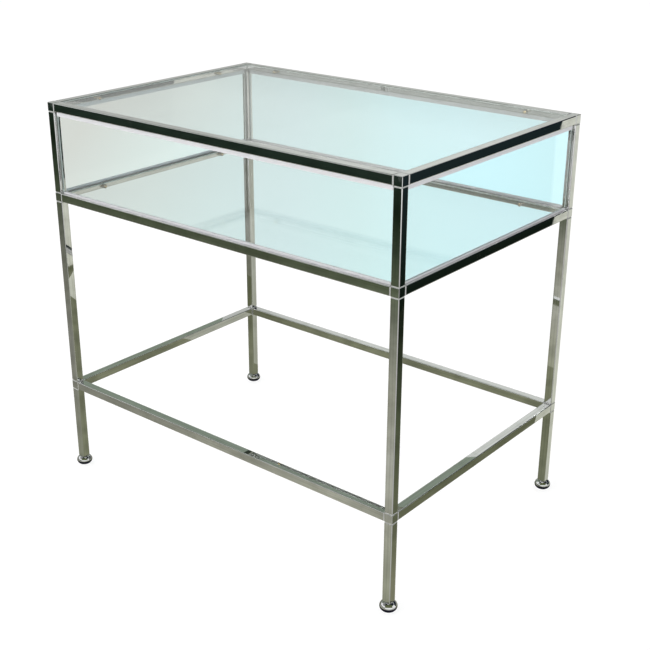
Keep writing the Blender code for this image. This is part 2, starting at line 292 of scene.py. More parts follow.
TUBE_CHROME = chrome_finish("tube_mirror_chrome", (0.80, 0.81, 0.805), (0.66, 0.67, 0.655),
                            smear_scale=14.0, roughness=(0.015, 0.060), ripple_height=0.0000005)
CAST_CHROME = chrome_finish("cast_mirror_chrome", (0.76, 0.77, 0.77), (0.69, 0.70, 0.70),
                            smear_scale=60.0, roughness=(0.03, 0.10), ripple_height=0.000012)
FOOT_CHROME = chrome_finish("foot_mirror_chrome", (0.79, 0.80, 0.80), (0.66, 0.67, 0.66),
                            smear_scale=45.0, roughness=(0.02, 0.10), ripple_height=0.000008)
print("chrome finishes made")

# %% [markdown]
# The other metals: zinc-plated steel for the studs, satin anodised aluminium for the glazing
# channels, pale satin nickel for the collars of the connectors and brass for the pins of the glass
# pegs. Anodised extrusions show faint lines along their length, drawn by the die, so their noise
# is stretched the same way as the scratches.

# %% Other metal finishes
LINES_ALONG = 9.0


def lined_metal(name, light, dark, roughness, line_scale, line_height, metallic=1.0):
    """Metal with fine lines along the piece: stretched noise drives colour, roughness and relief."""
    material, tree, shader = new_finish(name)
    lines = stretched_noise(tree, own_place(tree), line_scale, LINES_ALONG, detail=4.0, roughness=0.7)
    shader.inputs["Metallic"].default_value = metallic
    tree.links.new(mix_colours(tree, lines, light, dark), shader.inputs["Base Color"])
    tree.links.new(spread(tree, lines, 0.25, 0.75, *roughness), shader.inputs["Roughness"])
    add_relief(tree, shader, lines, line_height)
    return material


CHANNEL_SATIN = lined_metal("channel_satin_anodised", (0.90, 0.89, 0.92), (0.80, 0.79, 0.82),
                            (0.30, 0.48), line_scale=2600.0, line_height=0.00002, metallic=0.35)
STUD_ZINC = lined_metal("stud_zinc_plated", (0.64, 0.65, 0.66), (0.48, 0.49, 0.51),
                        (0.28, 0.50), line_scale=700.0, line_height=0.00001)
COLLAR_SATIN = lined_metal("collar_satin_nickel", (0.66, 0.66, 0.65), (0.56, 0.56, 0.55),
                           (0.30, 0.45), line_scale=900.0, line_height=0.000005, metallic=0.55)
PEG_BRASS = lined_metal("peg_pin_brass", (0.86, 0.70, 0.40), (0.72, 0.55, 0.28),
                        (0.16, 0.34), line_scale=900.0, line_height=0.00001)
print("lined metals made")

# %% [markdown]
# Float glass is clear, but two things give it away: the ground edges, which are matt and
# greener, and faint wipe marks. Glass also has to let light through to the floor: a ray that
# looks for a lamp would otherwise be stopped by the sheet, so such rays see a transparent one.
# The sheets in the photograph mirror very little, so their index is lower than window glass has.

# %% Glass finishes
GLASS_IOR = 1.25
PALER_SHARE = 0.7


def glass_finish(name, tint, roughness, mark_scale, through=1.0):
    """Glass with cloudy roughness, clear or part frosted, see-through for rays that look for light."""
    material, tree, shader = new_finish(name)
    place = add_node(tree, "ShaderNodeTexCoord").outputs["Object"]
    cloud = noise(tree, place, mark_scale, detail=5.0)
    paler = tuple(1.0 - PALER_SHARE * (1.0 - channel) for channel in tint)
    tree.links.new(spread(tree, cloud, 0.50, 0.80, *roughness), shader.inputs["Roughness"])
    tree.links.new(mix_colours(tree, cloud, tint, paler), shader.inputs["Base Color"])
    shader.inputs["IOR"].default_value = GLASS_IOR
    shader.inputs["Transmission Weight"].default_value = through
    clear = add_node(tree, "ShaderNodeBsdfTransparent", {"Color": (*paler, 1.0)})
    path = add_node(tree, "ShaderNodeLightPath")
    show_mix(tree, path.outputs["Is Shadow Ray"], shader.outputs["BSDF"], clear.outputs["BSDF"])
    return material


CLEAR_GLASS = glass_finish("glass_clear", (0.990, 0.998, 0.997), (0.0, 0.010), mark_scale=7.0)
GROUND_EDGE = glass_finish("glass_ground_edge", (0.80, 0.86, 0.82), (0.30, 0.50), mark_scale=160.0,
                           through=0.30)
SLEEVE_VINYL = glass_finish("peg_sleeve_vinyl", (0.93, 0.92, 0.84), (0.22, 0.38), mark_scale=300.0)
print("glass finishes made")

# %% [markdown]
# Now the shapes. Nearly all of them are stacks of rings: a closed outline is repeated along an
# axis, changing its size from ring to ring, and a skin of quads joins each ring to the next.
# A square tube is such a stack, and so are a cube, a turned foot, a sheet of glass and a thread.

# %% Helpers for skins
def grid_quads(rows, columns, join_rows):
    """Quads between neighbours of a grid that is closed round its columns, and round its rows if joined."""
    row = np.arange(rows if join_rows else rows - 1)[:, None]
    column = np.arange(columns)[None, :]
    next_row = (row + 1) % rows
    next_column = (column + 1) % columns
    corners = (row * columns + column, row * columns + next_column,
               next_row * columns + next_column, next_row * columns + column)
    return np.stack(corners, axis=-1).reshape(-1, 4)


def stack_skin(rings, joined=False, side_finish=0, cap_finish=0):
    """Skin of a stack, given as ring by point by 3. A joined stack leads its last ring back to its first,
    as a tube with a bore does; any other is closed by its first and last ring."""
    count, around = rings.shape[:2]
    quads = grid_quads(count, around, joined)
    first = np.arange(around)
    caps = [] if joined else [first, first + (count - 1) * around]
    numbers = [side_finish] * len(quads) + [cap_finish] * len(caps)
    return {"points": rings.reshape(-1, 3), "quads": quads, "caps": caps, "finish": numbers}


def placed(skin, origin, axis, up=UP):
    """Carries a skin from its own axes to the object's: own z goes along axis and own y goes up."""
    axis, up = np.asarray(axis, float), np.asarray(up, float)
    turn = np.stack([np.cross(up, axis), up, axis])
    return {**skin, "own": skin["points"], "points": skin["points"] @ turn + np.asarray(origin, float)}


print("skin helpers ready")

# %% Helpers for pieces
MERGE_DISTANCE = 1e-7
FLAT_WEIGHT = 100


def close_mesh(mesh):
    """Merges points that fall together, such as those of a pole, and turns every face outwards."""
    work = bmesh.new()
    work.from_mesh(mesh)
    bmesh.ops.remove_doubles(work, verts=work.verts, dist=MERGE_DISTANCE)
    bmesh.ops.dissolve_degenerate(work, edges=work.edges, dist=MERGE_DISTANCE)
    bmesh.ops.recalc_face_normals(work, faces=work.faces)
    work.to_mesh(mesh)
    work.free()


def make_piece(name, skins, finishes, body, stands_for=(), smooth=True):
    """One object from several placed skins: merged where they close on themselves, faces outwards."""
    starts = np.cumsum([0] + [len(skin["points"]) for skin in skins])
    faces = []
    for start, skin in zip(starts, skins):
        faces += (skin["quads"] + start).tolist() + [(cap + start).tolist() for cap in skin["caps"]]
    parts = ("points", "own", "finish")
    points, own, numbers = (np.concatenate([skin[part] for skin in skins]) for part in parts)
    mesh = bpy.data.meshes.new(name)
    mesh.from_pydata(points.tolist(), [], faces)
    own_places = mesh.attributes.new("own_place", "FLOAT_VECTOR", "POINT")
    own_places.data.foreach_set("vector", own.astype(np.float32).ravel())
    mesh.polygons.foreach_set("material_index", numbers.astype(np.int32))
    close_mesh(mesh)
    mesh.polygons.foreach_set("use_smooth", np.full(len(mesh.polygons), smooth))
    for finish in finishes:
        mesh.materials.append(finish)
    piece = add_object(name, mesh)
    if smooth:
        piece.modifiers.new("flat_faces_stay_flat", "WEIGHTED_NORMAL").weight = FLAT_WEIGHT
    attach(piece, body)
    if stands_for:
        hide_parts(*stands_for)
    return piece


print("piece helpers ready")

# %% Helpers for rounds
ROUND_STEPS = 6


def rounded_rings(width, height, radius, along, steps=ROUND_STEPS):
    """Rings that are rectangles with rounded corners: each corner is a quarter circle of that radius,
    whose centre lies radius inside both edges. Width, height, radius and along have a value per ring."""
    sizes = np.broadcast_arrays(width, height, radius, along)
    width, height, radius, along = (np.asarray(size, float)[:, None] for size in sizes)
    quarter = np.repeat(np.arange(4) * np.pi / 2, steps + 1)
    angle = quarter + np.tile(np.linspace(0.0, np.pi / 2, steps + 1), 4)
    side_x = np.sign(np.cos(quarter + np.pi / 4))
    side_y = np.sign(np.sin(quarter + np.pi / 4))
    x = side_x * (width / 2 - radius) + radius * np.cos(angle)
    y = side_y * (height / 2 - radius) + radius * np.sin(angle)
    return np.stack([x, y, np.broadcast_to(along, x.shape)], axis=-1)


def lip(round_radius, steps=ROUND_STEPS):
    """How far in and how far along each ring of a rounded end lies: a quarter circle from face to side."""
    angle = np.linspace(0.0, np.pi / 2, steps + 1)
    return round_radius * (1 - np.sin(angle)), round_radius * (1 - np.cos(angle))


print("round helpers ready")

# %% [markdown]
# The frame is cut from square tube. Seen close, a tube's long corners are rolled to a small
# radius and its sawn ends are dressed, so each end has a soft lip that catches the light beside
# the connector. The stack goes out of the bore, over the lip, along the outside and back in.

# %% Square tubes
TUBE_ROUND = 0.0018
LIP_ROUND = 0.0007
LEAST_ROUND = 0.0002


def tube_skin(length):
    """Rounded-square tube along z from 0 to length: rings for both lips, joined through the bore."""
    inset, rise = lip(LIP_ROUND)
    outside = TUBE_SIDE - 2 * inset
    side = np.concatenate([[TUBE_BORE], outside, outside[::-1], [TUBE_BORE]])
    along = np.concatenate([[0.0], rise, length - rise[::-1], [length]])
    radius = np.maximum(TUBE_ROUND - (TUBE_SIDE - side) / 2, LEAST_ROUND)
    return stack_skin(rounded_rings(side, side, radius, along), joined=True)


def rail_line(node, side):
    """Where a rail's own axis starts, which way it runs and how long it is, from its solid's box."""
    along, out = ALONG_AND_OUT[side]
    corners = np.array(node_box(node))
    reach = corners @ along
    outer = (corners @ out).max() - TUBE_SIDE / 2
    start = along * reach.min() + out * outer + UP * corners[:, 2].mean()
    return start, along, reach.max() - reach.min()


def upright_line(node):
    """Where an upright piece's own axis starts, in the middle of its lower end, and how tall it is."""
    low, high = node_box(node)
    return np.array([(low[0] + high[0]) / 2, (low[1] + high[1]) / 2, low[2]]), high[2] - low[2]


tube_lengths = {}
for level in ("top_rail", "tray_rail", "stretcher"):
    for side in ALONG_AND_OUT:
        node = f"{level}_{side}"
        start, along, length = rail_line(node, side)
        tube = placed(tube_skin(length), start, along)
        make_piece(f"{node}_tube", [tube], [TUBE_CHROME], "frame", [node])
        tube_lengths[node] = length
for level in ("upper_post", "middle_post"):
    for corner in CORNERS:
        node = f"{level}_{corner}"
        base, length = upright_line(node)
        tube = placed(tube_skin(length), base, UP, NORTH)
        make_piece(f"{node}_tube", [tube], [TUBE_CHROME], "frame", [node])
        tube_lengths[node] = length
print("tubes:", len(tube_lengths), "from", round(min(tube_lengths.values()), 3), "to",
      round(max(tube_lengths.values()), 3), "m")

# %% [markdown]
# A leg is the same tube with a plug welded into its lower end, which carries the thread of the
# foot. The plug goes from the square of the bore to a round hole, so its rings change outline:
# two rounded squares outside and two circles inside, with the same number of points.

# %% Legs with their plugs
PLUG_THICKNESS = 0.004
PLUG_RECESS = 0.0002
PLUG_ROUND = 0.0004
PLUG_HOLE_RADIUS = 0.0043


def plug_skin():
    """Square disc with a round hole: squares at its two faces, then circles at the same heights."""
    outside = rounded_rings(TUBE_BORE, TUBE_BORE, PLUG_ROUND, [0.0, PLUG_THICKNESS])
    turn = np.arctan2(outside[..., 1], outside[..., 0])
    circle = (PLUG_HOLE_RADIUS * np.cos(turn), PLUG_HOLE_RADIUS * np.sin(turn), outside[..., 2])
    hole = np.stack(circle, axis=-1)
    return stack_skin(np.concatenate([outside, hole[::-1]]), joined=True)


for corner in CORNERS:
    node = f"leg_{corner}"
    base, length = upright_line(node)
    tube = placed(tube_skin(length), base, UP, NORTH)
    plug = placed(plug_skin(), base + UP * PLUG_RECESS, UP, NORTH)
    make_piece(f"{node}_tube", [tube, plug], [TUBE_CHROME], "frame", [node])
print("legs with plugs:", len(CORNERS))

# %% [markdown]
# The connectors take the most care. Each is a cast cube as wide as the tube, with a narrower
# collar on every side where a tube arrives and a fluted spigot that is driven into the tube. In
# the photograph the collars show as bright bands, even between faces that mirror black: they are
# left satin where the faces are polished, and slightly barrelled.

# %% Shapes of the connectors
CONNECTOR_ROUND = 0.0009
COLLAR_LENGTH = 0.0023
COLLAR_RECESS = 0.0004
COLLAR_BARREL = 0.0003
COLLAR_ROUND = 0.0015
COLLAR_RINGS = 13
SPIGOT_LENGTH = 0.030
SPIGOT_CLEARANCE = 0.0006
SPIGOT_SIDE = TUBE_BORE - SPIGOT_CLEARANCE
SPIGOT_DRAFT = 0.0004
SPIGOT_CORNER = 0.001
FLUTE_WIDTH = 0.004
FLUTE_DEPTH = 0.0015
FLUTE_STEPS = 25


def cube_skin(side, edge_round):
    """Cube with rounded edges: rounded squares whose size and corner both shrink over the two ends."""
    inset, rise = lip(edge_round)
    inset = np.concatenate([inset, inset[::-1]])
    along = np.concatenate([rise, side - rise[::-1]]) - side / 2
    return stack_skin(rounded_rings(side - 2 * inset, side - 2 * inset, edge_round - inset, along))


def collar_skin():
    """Collar along z: its faces bulge by a parabola that is highest at mid length."""
    step = np.linspace(0.0, 1.0, COLLAR_RINGS)
    side = TUBE_SIDE - 2 * (COLLAR_RECESS + COLLAR_BARREL * (2 * step - 1) ** 2)
    rings = rounded_rings(side, side, COLLAR_ROUND, step * COLLAR_LENGTH)
    return stack_skin(rings, side_finish=1, cap_finish=1)


def spigot_skin():
    """Spigot along z: a square with cut corners and a rounded groove down each face, smaller to its tip."""
    along = np.array([0.0, SPIGOT_LENGTH - SPIGOT_CORNER, SPIGOT_LENGTH])
    half = SPIGOT_SIDE / 2 - SPIGOT_DRAFT / 2 * along / SPIGOT_LENGTH
    half[-1] -= SPIGOT_CORNER
    across = np.linspace(-1.0, 1.0, FLUTE_STEPS)[None, :] * (half - SPIGOT_CORNER)[:, None]
    groove = FLUTE_DEPTH * np.cos(np.clip(across / FLUTE_WIDTH, -0.5, 0.5) * np.pi) ** 2
    face = half[:, None] - groove
    sides = [np.stack([face, across], -1), np.stack([-across, face], -1),
             np.stack([-face, -across], -1), np.stack([across, -face], -1)]
    flat = np.concatenate(sides, axis=1)
    height = np.broadcast_to(along[:, None, None], flat.shape[:2] + (1,))
    return stack_skin(np.concatenate([flat, height], axis=-1))


print("spigot side", round(SPIGOT_SIDE * 1000, 2), "mm")


# %% Cast connectors
def connector_arms(level, corner):
    """Directions in which tubes leave a connector: along both sides of the frame, and up or down."""
    x, y = CORNERS[corner]
    posts = [(0, 0, -1)] if level == "top" else [(0, 0, -1), (0, 0, 1)]
    return np.array([(-x, 0, 0), (0, -y, 0), *posts], float)


connector_count = 0
for level, rail in (("top", "top_rail"), ("tray", "tray_rail"), ("stretcher", "stretcher")):
    low, high = node_box(f"{rail}_front")
    for corner, outward in CORNERS.items():
        node = f"{level}_connector_{corner}"
        box_low, box_high = node_box(node)
        outer = np.where(np.array(outward) > 0, box_high[:2], box_low[:2])
        centre = np.array([*(outer - np.array(outward) * TUBE_SIDE / 2), (low[2] + high[2]) / 2])
        skins = [placed(cube_skin(TUBE_SIDE, CONNECTOR_ROUND), centre, UP, NORTH)]
        for arm in connector_arms(level, corner):
            across = NORTH if arm[2] else UP
            skins.append(placed(collar_skin(), centre + arm * TUBE_SIDE / 2, arm, across))
            skins.append(placed(spigot_skin(), centre + arm * (TUBE_SIDE / 2 + COLLAR_LENGTH), arm, across))
        make_piece(f"{node}_casting", skins, [CAST_CHROME, COLLAR_SATIN], "frame",
                   [node])
        connector_count += 1
print("connectors:", connector_count)

# %% [markdown]
# The feet are turned: a profile of radius and height is carried round an axis. The profile is a
# flattened ball, cut flat where it stands and where the leg rests on it, with a socket for the
# stud. The stud is a turned profile too, but its radius also depends on the angle: a thread is a
# ripple along the axis that moves up by one pitch for each turn.

# %% Feet and studs
FOOT_COLUMNS = 96
FOOT_RINGS = 49
FOOT_FLAT_RADIUS = 0.007
SOCKET_RADIUS = 0.0043
SOCKET_DEPTH = 0.014
THREAD_PITCH = 0.00125
THREAD_DEPTH = 0.00062
THREAD_SHARPNESS = 1.5
THREAD_COLUMNS = 40
THREAD_ROWS_PER_PITCH = 10
STUD_TAPER = 0.001


def turned_rings(radius, height, columns):
    """Rings of a turned shape: each radius of the profile is carried round the axis at its height."""
    angle = np.linspace(0.0, 2 * np.pi, columns, endpoint=False)
    x = radius[:, None] * np.cos(angle)
    y = radius[:, None] * np.sin(angle)
    return np.stack([x, y, np.broadcast_to(height[:, None], x.shape)], axis=-1)


def foot_skin(belly, height):
    """Flattened ball: radius is belly times cos t and height is rise times sin t, between the two flats."""
    stop = math.acos(FOOT_FLAT_RADIUS / belly)
    turn = np.linspace(-stop, stop, FOOT_RINGS)
    rise = height / 2 / math.sin(stop)
    socket = height - SOCKET_DEPTH
    radius = np.concatenate([[0.0], belly * np.cos(turn), [SOCKET_RADIUS, SOCKET_RADIUS, 0.0]])
    level = np.concatenate([[0.0], height / 2 + rise * np.sin(turn), [height, socket, socket]])
    return stack_skin(turned_rings(radius, level, FOOT_COLUMNS))


def stud_skin(radius, length):
    """Threaded rod: radius less a rounded groove whose phase is height over pitch minus angle over a turn,
    and no more than a cone lets it be at either end."""
    rows = int(length / THREAD_PITCH * THREAD_ROWS_PER_PITCH) + 1
    height = np.linspace(0.0, length, rows)[:, None]
    angle = np.linspace(0.0, 2 * np.pi, THREAD_COLUMNS, endpoint=False)[None, :]
    groove = (1 - np.cos(2 * np.pi * (height / THREAD_PITCH) - angle)) / 2
    cone = radius - STUD_TAPER + np.minimum(height, length - height)
    reach = np.minimum(radius - THREAD_DEPTH * groove ** THREAD_SHARPNESS, cone)
    x, y = reach * np.cos(angle), reach * np.sin(angle)
    return stack_skin(np.stack([x, y, np.broadcast_to(height, x.shape)], axis=-1))


for corner in CORNERS:
    node = f"foot_{corner}"
    low, high = node_box(node)
    base, height = upright_line(node)
    ball = placed(foot_skin((high[0] - low[0]) / 2, height), base, UP, NORTH)
    make_piece(f"{node}_turned", [ball], [FOOT_CHROME], f"foot_{corner}", [node])
    node = f"foot_stud_{corner}"
    low, high = node_box(node)
    base[2] = low[2]
    rod = placed(stud_skin((high[1] - low[1]) / 2, high[2] - low[2]), base, UP, NORTH)
    make_piece(f"{node}_thread", [rod], [STUD_ZINC], f"stud_{corner}", [node])
print("feet and studs:", len(CORNERS), "of each")

# %% [markdown]
# Both loose sheets lie on pegs that stand out of the rails. In the photograph they are small
# warm dots with a pale ring: a brass pin with a soft clear sleeve, so that metal never touches
# the glass. Where they stand is read off the rail's solid, as the points further in than the rail.

# %% Glass pegs
SLEEVE_RADIUS = 0.005
SLEEVE_BORE = 0.0026
SLEEVE_ROUND = 0.0011
PIN_RADIUS = SLEEVE_BORE - 0.0001
PIN_ROOT = 0.001
PIN_HEAD_RADIUS = 0.0036
PIN_HEAD_DOME = 0.0009
PIN_HEAD_RINGS = 9
PEG_REACH = 0.010
PEG_COLUMNS = 32
BEYOND_RAIL = 0.001


def sleeve_skin(length):
    """Soft sleeve along z: bore, rounded front edge, outside and back again, joined through the bore."""
    inset, rise = lip(SLEEVE_ROUND)
    radius = np.concatenate([[SLEEVE_BORE, SLEEVE_RADIUS], SLEEVE_RADIUS - inset[::-1], [SLEEVE_BORE]])
    height = np.concatenate([[0.0, 0.0], length - rise[::-1], [length]])
    return stack_skin(turned_rings(radius, height, PEG_COLUMNS), joined=True)


def pin_skin(length):
    """Pin along z with a domed head: the dome's height falls as the cosine of the way to its rim."""
    way = np.linspace(1.0, 0.0, PIN_HEAD_RINGS)
    radius = np.concatenate([[0.0, PIN_RADIUS, PIN_RADIUS], PIN_HEAD_RADIUS * way])
    dome = length + PIN_HEAD_DOME * np.cos(way * np.pi / 2)
    height = np.concatenate([[-PIN_ROOT, -PIN_ROOT, length], dome])
    return stack_skin(turned_rings(radius, height, PEG_COLUMNS))


def peg_places(node, side):
    """Middle of each peg on a rail: of the solid's points beyond the inner face, one half at a time."""
    along, out = ALONG_AND_OUT[side]
    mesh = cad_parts[node].data
    points = np.empty(len(mesh.vertices) * 3)
    mesh.vertices.foreach_get("co", points)
    points = points.reshape(-1, 3)
    inner = (points @ out).max() - TUBE_SIDE
    beyond = points[points @ out < inner - BEYOND_RAIL]
    half = np.median(beyond @ along)
    groups = (beyond[beyond @ along < half], beyond[beyond @ along >= half])
    centres = [(group.min(axis=0) + group.max(axis=0)) / 2 for group in groups]
    return [centre + out * (inner - centre @ out) for centre in centres]


peg_count = 0
for level in ("top_rail", "tray_rail"):
    for side, (along, out) in ALONG_AND_OUT.items():
        for number, place in enumerate(peg_places(f"{level}_{side}", side), start=1):
            name = f"{level}_{side}_peg_{number}"
            sleeve = placed(sleeve_skin(PEG_REACH - PIN_HEAD_DOME), place, -out)
            pin = placed(pin_skin(PEG_REACH - PIN_HEAD_DOME), place, -out)
            make_piece(f"{name}_sleeve", [sleeve], [SLEEVE_VINYL], "frame")
            make_piece(f"{name}_pin", [pin], [PEG_BRASS], "frame")
            peg_count += 1
print("pegs:", peg_count)

# %% [markdown]
# The six sheets of glass: a loose top, a loose tray and four panes. Each is a stack of rounded
# rectangles across its thickness, with a narrow ground chamfer at both faces. The two faces get
# the clear finish and the edge all round gets the ground one.

# %% Sheets of glass
GLASS_ARRIS = 0.0006
GLASS_CORNER = 0.0015
GLASS_CORNER_STEPS = 3


def sheet_skin(width, height, thickness):
    """Sheet along z: rounded rectangles, a little smaller at both faces, so that a chamfer runs round."""
    inset = GLASS_ARRIS * np.array([1.0, 0.0, 0.0, 1.0])
    along = np.array([0.0, GLASS_ARRIS, thickness - GLASS_ARRIS, thickness])
    rings = rounded_rings(width - 2 * inset, height - 2 * inset, GLASS_CORNER - inset, along,
                          GLASS_CORNER_STEPS)
    return stack_skin(rings, side_finish=1)


SHEETS = {"top_glass": (UP, NORTH, "top_glass"), "tray_glass": (UP, NORTH, "frame")}
for side, (along, out) in ALONG_AND_OUT.items():
    SHEETS[f"{side}_pane"] = (out, UP, "frame")
for node, (axis, up, body) in SHEETS.items():
    low, high = node_box(node)
    directions = (np.cross(up, axis), up, axis)
    width, height, thickness = (float(abs(direction) @ (high - low)) for direction in directions)
    start = (low + high) / 2 - axis * thickness / 2
    sheet = placed(sheet_skin(width, height, thickness), start, axis, up)
    make_piece(f"{node}_sheet", [sheet], [CLEAR_GLASS, GROUND_EDGE], body, [node],
               smooth=False)
print("sheets of glass:", len(SHEETS))

# %% [markdown]
# Each pane stands in a shallow U-channel on the tray rail and reaches into a deeper one under the
# top rail, so that it can be lifted and swung out. The channel is an extrusion: one outline with
# small rounds at every corner, carried straight along the side.

# %% Glazing channels
CHANNEL_WALL = 0.001
CHANNEL_ROUND = 0.0003
CHANNEL_ROUND_STEPS = 4


def round_corners(corners, radius, steps):
    """Each right-angled corner becomes a quarter circle: its centre lies radius along both edges, and the
    arc swings from the edge behind to the edge ahead."""
    back = np.roll(corners, 1, axis=0) - corners
    ahead = np.roll(corners, -1, axis=0) - corners
    back /= np.linalg.norm(back, axis=1, keepdims=True)
    ahead /= np.linalg.norm(ahead, axis=1, keepdims=True)
    angle = np.linspace(0.0, np.pi / 2, steps + 1)[None, :, None]
    centre = corners + radius * (back + ahead)
    arc = centre[:, None] - radius * (ahead[:, None] * np.cos(angle) + back[:, None] * np.sin(angle))
    return arc.reshape(-1, 2)


def channel_skin(width, depth, length):
    """U-shaped outline, open at the top, carried along z; its base lies on own y = 0."""
    half, inner = width / 2, width / 2 - CHANNEL_WALL
    corners = np.array([(-half, 0.0), (half, 0.0), (half, depth), (inner, depth), (inner, CHANNEL_WALL),
                        (-inner, CHANNEL_WALL), (-inner, depth), (-half, depth)])
    outline = round_corners(corners, CHANNEL_ROUND, CHANNEL_ROUND_STEPS)
    along = np.broadcast_to(np.array([0.0, length])[:, None, None], (2, len(outline), 1))
    return stack_skin(np.concatenate([np.stack([outline, outline]), along], axis=-1))


for level, opens in (("tray", UP), ("top", -UP)):
    for side, (along, out) in ALONG_AND_OUT.items():
        node = f"{level}_channel_{side}"
        low, high = node_box(node)
        size = high - low
        length, width = float(abs(along) @ size), float(abs(out) @ size)
        start = (low + high) / 2 - along * length / 2 - opens * size[2] / 2
        channel = placed(channel_skin(width, size[2], length), start, along, opens)
        make_piece(f"{node}_extrusion", [channel], [CHANNEL_SATIN], "frame", [node])
print("channels:", 2 * len(ALONG_AND_OUT))

# %% [markdown]
# The stage. The floor and everything round it are white to the camera, to mirrors and to glass,
# and the floor still takes a faint shadow. Soft lamps add a little shape.

# %% Floor and surroundings
FLOOR_HALF = 30.0
FLOOR_SHADOW_SHARE = 0.30
FLOOR_GLOW = 1.08
FLOOR_ROUGHNESS = 0.9
FLOOR_PAINT = (0.93, 0.93, 0.93, 1.0)
WHITE = (1.0, 1.0, 1.0, 1.0)
SURROUND_STRENGTH = 0.95


def flat_card(name, corners):
    """A single face through its corners, linked to the scene on its own rather than to a body."""
    mesh = bpy.data.meshes.new(name)
    mesh.from_pydata([tuple(corner) for corner in corners], [], [tuple(range(len(corners)))])
    card = add_object(name, mesh)
    return card


def seen_directly(tree):
    """1 for rays from the camera, off mirrors and through glass, 0 for rays that only gather light."""
    path = add_node(tree, "ShaderNodeLightPath").outputs
    first = calculate(tree, "MAXIMUM", path["Is Camera Ray"], path["Is Glossy Ray"])
    return calculate(tree, "MAXIMUM", first, path["Is Transmission Ray"])


def add_floor():
    """White floor: mostly its own white where it is seen, with a share of plain diffuse for the shadow."""
    floor = flat_card("floor", [(x * FLOOR_HALF, y * FLOOR_HALF, 0) for x, y in CORNERS.values()])
    material, tree, shader = new_finish("floor_white")
    shader.inputs["Base Color"].default_value = FLOOR_PAINT
    shader.inputs["Roughness"].default_value = FLOOR_ROUGHNESS
    shader.inputs["Specular IOR Level"].default_value = 0.0
    glow = add_node(tree, "ShaderNodeEmission", {"Color": WHITE, "Strength": FLOOR_GLOW})
    share = calculate(tree, "MULTIPLY", seen_directly(tree), 1.0 - FLOOR_SHADOW_SHARE)
    show_mix(tree, share, shader.outputs["BSDF"], glow.outputs["Emission"])
    floor.data.materials.append(material)


def set_surroundings():
    """White all round where it is seen, and a plain soft light from every side."""
    world = bpy.data.worlds.new("white_surroundings")
    world.use_nodes = True
    tree = world.node_tree
    soft = tree.nodes["Background"]
    soft.inputs["Color"].default_value = WHITE
    soft.inputs["Strength"].default_value = SURROUND_STRENGTH
    white = add_node(tree, "ShaderNodeBackground", {"Color": WHITE, "Strength": 1.0})
    show_mix(tree, seen_directly(tree), soft.outputs["Background"], white.outputs["Background"],
             "World Output")
    bpy.context.scene.world = world


add_floor()
set_surroundings()
print("floor", 2 * FLOOR_HALF, "m wide")

# %% Lamps
LAMP_TARGET = (0.0, 0.0, 0.5)


def add_lamp(name, place, side, power):
    """A square soft lamp at a place, facing the counter, that mirrors don't show."""
    data = bpy.data.lights.new(name, "AREA")
    data.size = side
    data.energy = power
    lamp = add_object(name, data)
    lamp.location = place
    away = np.array(place) - np.array(LAMP_TARGET)
    yaw = math.atan2(away[0], -away[1])
    pitch = math.atan2(math.hypot(away[0], away[1]), away[2])
    lamp.rotation_euler = (pitch, 0.0, yaw)
    lamp.visible_glossy = False


add_lamp("key_lamp", (-0.8, -4.4, 3.0), side=2.0, power=70.0)
add_lamp("fill_lamp", (-3.4, -1.0, 3.0), side=2.4, power=25.0)
print("lamps set")

# %% [markdown]
# Chrome has no look of its own: it shows the room. In the photograph its front mirrors a floor
# that is beige near by and dark further off, its right side mirrors something black with a sharp
# end, and its upper faces mirror a pale wall under a darker ceiling. Photographers make such
# rooms out of cards; here the cards are painted reflections, which glow by themselves, so that
# nothing lights them by chance. A ray counts how often it was mirrored: the painted room shows
# only to rays that were mirrored at least once, and the tinted cards show only to rays that came
# straight through the glass.

# %% Helpers for the cards
MOTTLE_SCALE = 7.0
MOTTLE_DETAIL = 3.0
HALF_A_MIRROR = 0.5


def distance_along(tree, place, direction):
    """How far a place lies along a direction."""
    unit = tuple(np.array(direction, float) / np.linalg.norm(direction))
    dot = add_node(tree, "ShaderNodeVectorMath", {0: place, 1: unit}, operation="DOT_PRODUCT")
    return dot.outputs["Value"]


def colour_ramp(tree, distance, stops):
    """The colour at a distance: even blends between the stops, each a distance and a colour."""
    first, last = stops[0][0], stops[-1][0]
    way = add_node(tree, "ShaderNodeMapRange", {"Value": distance, "From Min": first, "From Max": last})
    ramp = add_node(tree, "ShaderNodeValToRGB", {"Fac": way.outputs["Result"]})
    marks = ramp.color_ramp.elements
    positions = [(stop - first) / (last - first) for stop, colour in stops]
    for position in positions[1:-1]:
        marks.new(position)
    for mark, position, (stop, colour) in zip(marks, positions, stops):
        mark.position = position
        mark.color = (*colour, 1.0)
    return ramp.outputs["Color"]


